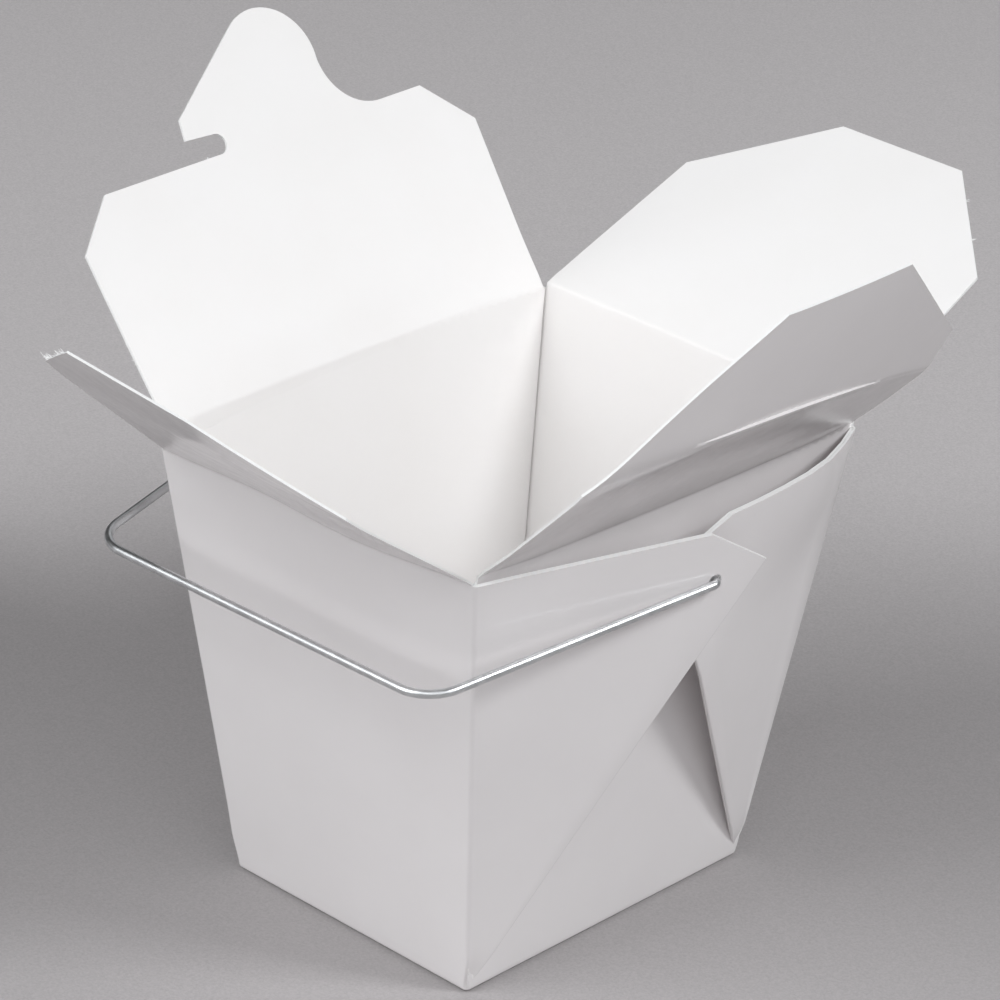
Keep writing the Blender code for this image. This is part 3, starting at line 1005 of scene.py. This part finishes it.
# How much of a fibre is rooted inside the board, and how much thinner it is at its tip.
FIBRE_ROOT = 0.2
FIBRE_TAPER = 0.75
# A step this long along the board gives its run at a fibre's root.
FIBRE_PROBE = 0.3 * MM


def make_fibres(flap, rings, material):
    """Tapering fibres that stand out of the flap's edge, near the plane of the board."""
    draw = random.Random(flap.name)
    rim = flap.wall_top(rings[-1])
    bm = bmesh.new()
    for tuft in TUFTS[flap.name]:
        for _ in range(tuft.count):
            root = tuft.start.lerp(tuft.end, draw.random())
            heading = tuft.heading + draw.uniform(-1, 1) * tuft.spread
            curl = draw.uniform(-1, 1) * FIBRE_CURL
            rise = draw.uniform(-FIBRE_RISE, FIBRE_RISE)
            length = tuft.length * draw.uniform(*FIBRE_LENGTHS)
            radius = tuft.radius * draw.uniform(*FIBRE_RADII)
            add_fibre(bm, flap, rim, root, heading, curl, rise, length, radius)
    fibres = store_mesh(flap.name.replace("_board", "_fibres"), bm, [material])
    shade(fibres, FIBRE_SHARP)
    return fibres


def add_fibre(bm, flap, rim, root, heading, curl, rise, length, radius):
    """One closed, curved, tapering tube rooted inside the board."""
    origin = flap.place(root, rim)
    across = (flap.place(root + Vector((FIBRE_PROBE, 0)), rim) - origin).normalized()
    away = (flap.place(root + Vector((0, FIBRE_PROBE)), rim) - origin).normalized()
    out = across.cross(away).normalized()
    rows = []
    for k in range(FIBRE_STEPS + 1):
        t = k / FIBRE_STEPS
        turn = heading + curl * t
        run = across * math.cos(turn) + away * math.sin(turn) + out * rise
        place = origin + run * length * (t - FIBRE_ROOT)
        side = run.cross(out).normalized()
        size = radius * (1 - FIBRE_TAPER * t)
        ring = [math.tau * i / FIBRE_SIDES for i in range(FIBRE_SIDES)]
        rows.append([bm.verts.new(place + (side * math.cos(a) + out * math.sin(a)) * size) for a in ring])
    faces = [bm.faces.new(rows[0][::-1]), bm.faces.new(rows[-1])]
    for low, high in zip(rows, rows[1:]):
        for i in range(FIBRE_SIDES):
            j = (i + 1) % FIBRE_SIDES
            faces.append(bm.faces.new((low[i], low[j], high[j], high[i])))
    bmesh.ops.recalc_face_normals(bm, faces=faces)


# ---------------------------------------------------------------- bail

def rounded_path(points, radii):
    """Path with each inner corner turned on an arc of its own radius."""
    path = [points[0]]
    for before, corner, after, radius in zip(points, points[1:], points[2:], radii):
        to_before = (before - corner).normalized()
        to_after = (after - corner).normalized()
        half = to_before.angle(to_after) / 2
        centre = corner + (to_before + to_after).normalized() * (radius / math.sin(half))
        start = (corner + to_before * (radius / math.tan(half)) - centre).normalized()
        sweep = math.pi - 2 * half
        steps = max(3, math.ceil(sweep / ARC_STEP))
        for i in range(steps + 1):
            angle = sweep * i / steps
            path.append(centre + (start * math.cos(angle) - to_before * math.sin(angle)) * radius)
    path.append(points[-1])
    return path


def make_bail(material):
    """Wire bail: a cross-piece, two splayed legs and two hooked ends on the axis."""
    right = [Vector((BAIL_HALF_WIDTH, -BAIL_REACH, 0)), Vector((BAIL_HOLE_X, 0, 0)),
             Vector((BAIL_FOOT_X, 0, 0)), Vector((BAIL_FOOT_X, BAIL_FOOT, 0))]
    left = [Vector((-point.x, point.y, 0)) for point in reversed(right)]
    path = rounded_path(left + right, [*reversed(BAIL_BENDS), *BAIL_BENDS])
    tilt = Matrix.Rotation(BAIL_DROOP, 4, 'X')
    place = Matrix.Translation(JOINTS["bail_swing"]["pos_m"]) @ tilt
    path = [place @ point for point in dense_path(path, WIRE_STEP)]
    bm = tube(path, WIRE_RADIUS, WIRE_SIDES)
    bail = store_mesh("bail_wire", bm, [material])
    shade(bail, WIRE_SHARP)
    return bail


def dense_path(path, step):
    points = [path[0]]
    for a, b in zip(path, path[1:]):
        count = max(1, math.ceil((b - a).length / step))
        points += [a.lerp(b, k / count) for k in range(1, count + 1)]
    return points


def tube(path, radius, sides):
    """Round wire along a path, its two cut ends slightly chamfered."""
    ends = [(path[0] - path[1]).normalized(), (path[-1] - path[-2]).normalized()]
    stations = [(path[0] + ends[0] * WIRE_CHAMFER, radius - WIRE_CHAMFER)]
    stations += [(point, radius) for point in path]
    stations.append((path[-1] + ends[1] * WIRE_CHAMFER, radius - WIRE_CHAMFER))
    bm = bmesh.new()
    normal = Matrix.Rotation(BAIL_DROOP, 3, 'X') @ Vector((0, 0, 1))
    rows = []
    for i, (point, size) in enumerate(stations):
        before = stations[max(i - 1, 0)][0]
        after = stations[min(i + 1, len(stations) - 1)][0]
        side = (after - before).normalized().cross(normal)
        ring = [math.tau * k / sides for k in range(sides)]
        rows.append([bm.verts.new(point + (side * math.cos(a) + normal * math.sin(a)) * size) for a in ring])
    for low, high in zip(rows, rows[1:]):
        for k in range(sides):
            j = (k + 1) % sides
            bm.faces.new((low[k], low[j], high[j], high[k]))
    bm.faces.new(rows[0][::-1])
    bm.faces.new(rows[-1])
    bmesh.ops.recalc_face_normals(bm, faces=bm.faces[:])
    return bm


# ---------------------------------------------------------------- stage

def make_floor():
    bm = bmesh.new()
    bmesh.ops.create_grid(bm, x_segments=1, y_segments=1, size=FLOOR_HALF)
    bmesh.ops.translate(bm, verts=bm.verts, vec=(0, 0, -FLOOR_GAP))
    floor = store_mesh("floor", bm, [studio_floor()])


def soft_light(name, azimuth, elevation, power, width):
    """Square softbox aimed at the middle of the pail; azimuth turns as the camera's does."""
    a, e = math.radians(azimuth), math.radians(elevation)
    back = Vector((math.sin(a) * math.cos(e), -math.cos(a) * math.cos(e), math.sin(e)))
    light = bpy.data.lights.new(name, 'AREA')
    light.shape = 'SQUARE'
    light.size = width
    light.color = LIGHT_COLOUR
    light.energy = power
    lamp = bpy.data.objects.new(name, light)
    lamp.rotation_mode = 'QUATERNION'
    lamp.rotation_quaternion = (-back).to_track_quat("-Z", "Y")
    lamp.location = SOFTBOX_TARGET + back * SOFTBOX_DISTANCE
    bpy.context.scene.collection.objects.link(lamp)


def make_lights():
    world = bpy.data.worlds.new("studio")
    world.use_nodes = True
    background = world.node_tree.nodes["Background"]
    background.inputs["Color"].default_value = WORLD_COLOUR
    background.inputs["Strength"].default_value = WORLD_STRENGTH
    bpy.context.scene.world = world
    for name, (azimuth, elevation, power, width) in SOFTBOXES.items():
        soft_light(name, azimuth, elevation, power, width)


def make_camera():
    """View from the front right: a long lens, well above the rim, rolled slightly."""
    azimuth, elevation, roll = CAMERA_AZIMUTH, CAMERA_ELEVATION, CAMERA_ROLL
    back = Vector((math.sin(azimuth) * math.cos(elevation), -math.cos(azimuth) * math.cos(elevation),
                   math.sin(elevation)))
    level = Vector((math.cos(azimuth), math.sin(azimuth), 0))
    up = back.cross(level)
    right = level * math.cos(roll) + up * math.sin(roll)
    upright = up * math.cos(roll) - level * math.sin(roll)
    data = bpy.data.cameras.new("camera")
    data.sensor_width = CAMERA_SENSOR
    data.lens = CAMERA_LENS
    camera = bpy.data.objects.new("camera", data)
    turn = Matrix((right, upright, back)).transposed().to_4x4()
    camera.matrix_world = Matrix.Translation(CAMERA_EYE) @ turn
    bpy.context.scene.collection.objects.link(camera)
    bpy.context.scene.camera = camera


# ---------------------------------------------------------------- assembly

def main():
    make_camera()
    board = [coated_board(), plain_board(), cut_board()]
    rings = body_rings()
    body = make_body(board, rings)
    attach(body, "tub")
    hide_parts("tub")
    for flap in flap_list():
        obj = flap.make(rings, board)
        child = flap.joint["child"]
        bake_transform(obj)
        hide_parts(child)
        fibres = make_fibres(flap, rings, board[2])
        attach(fibres, child)
    bail = make_bail(galvanised_wire())
    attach(bail, "bail")
    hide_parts("bail")
    make_floor()
    make_lights()
    bpy.context.scene.view_settings.view_transform = 'Standard'


main()
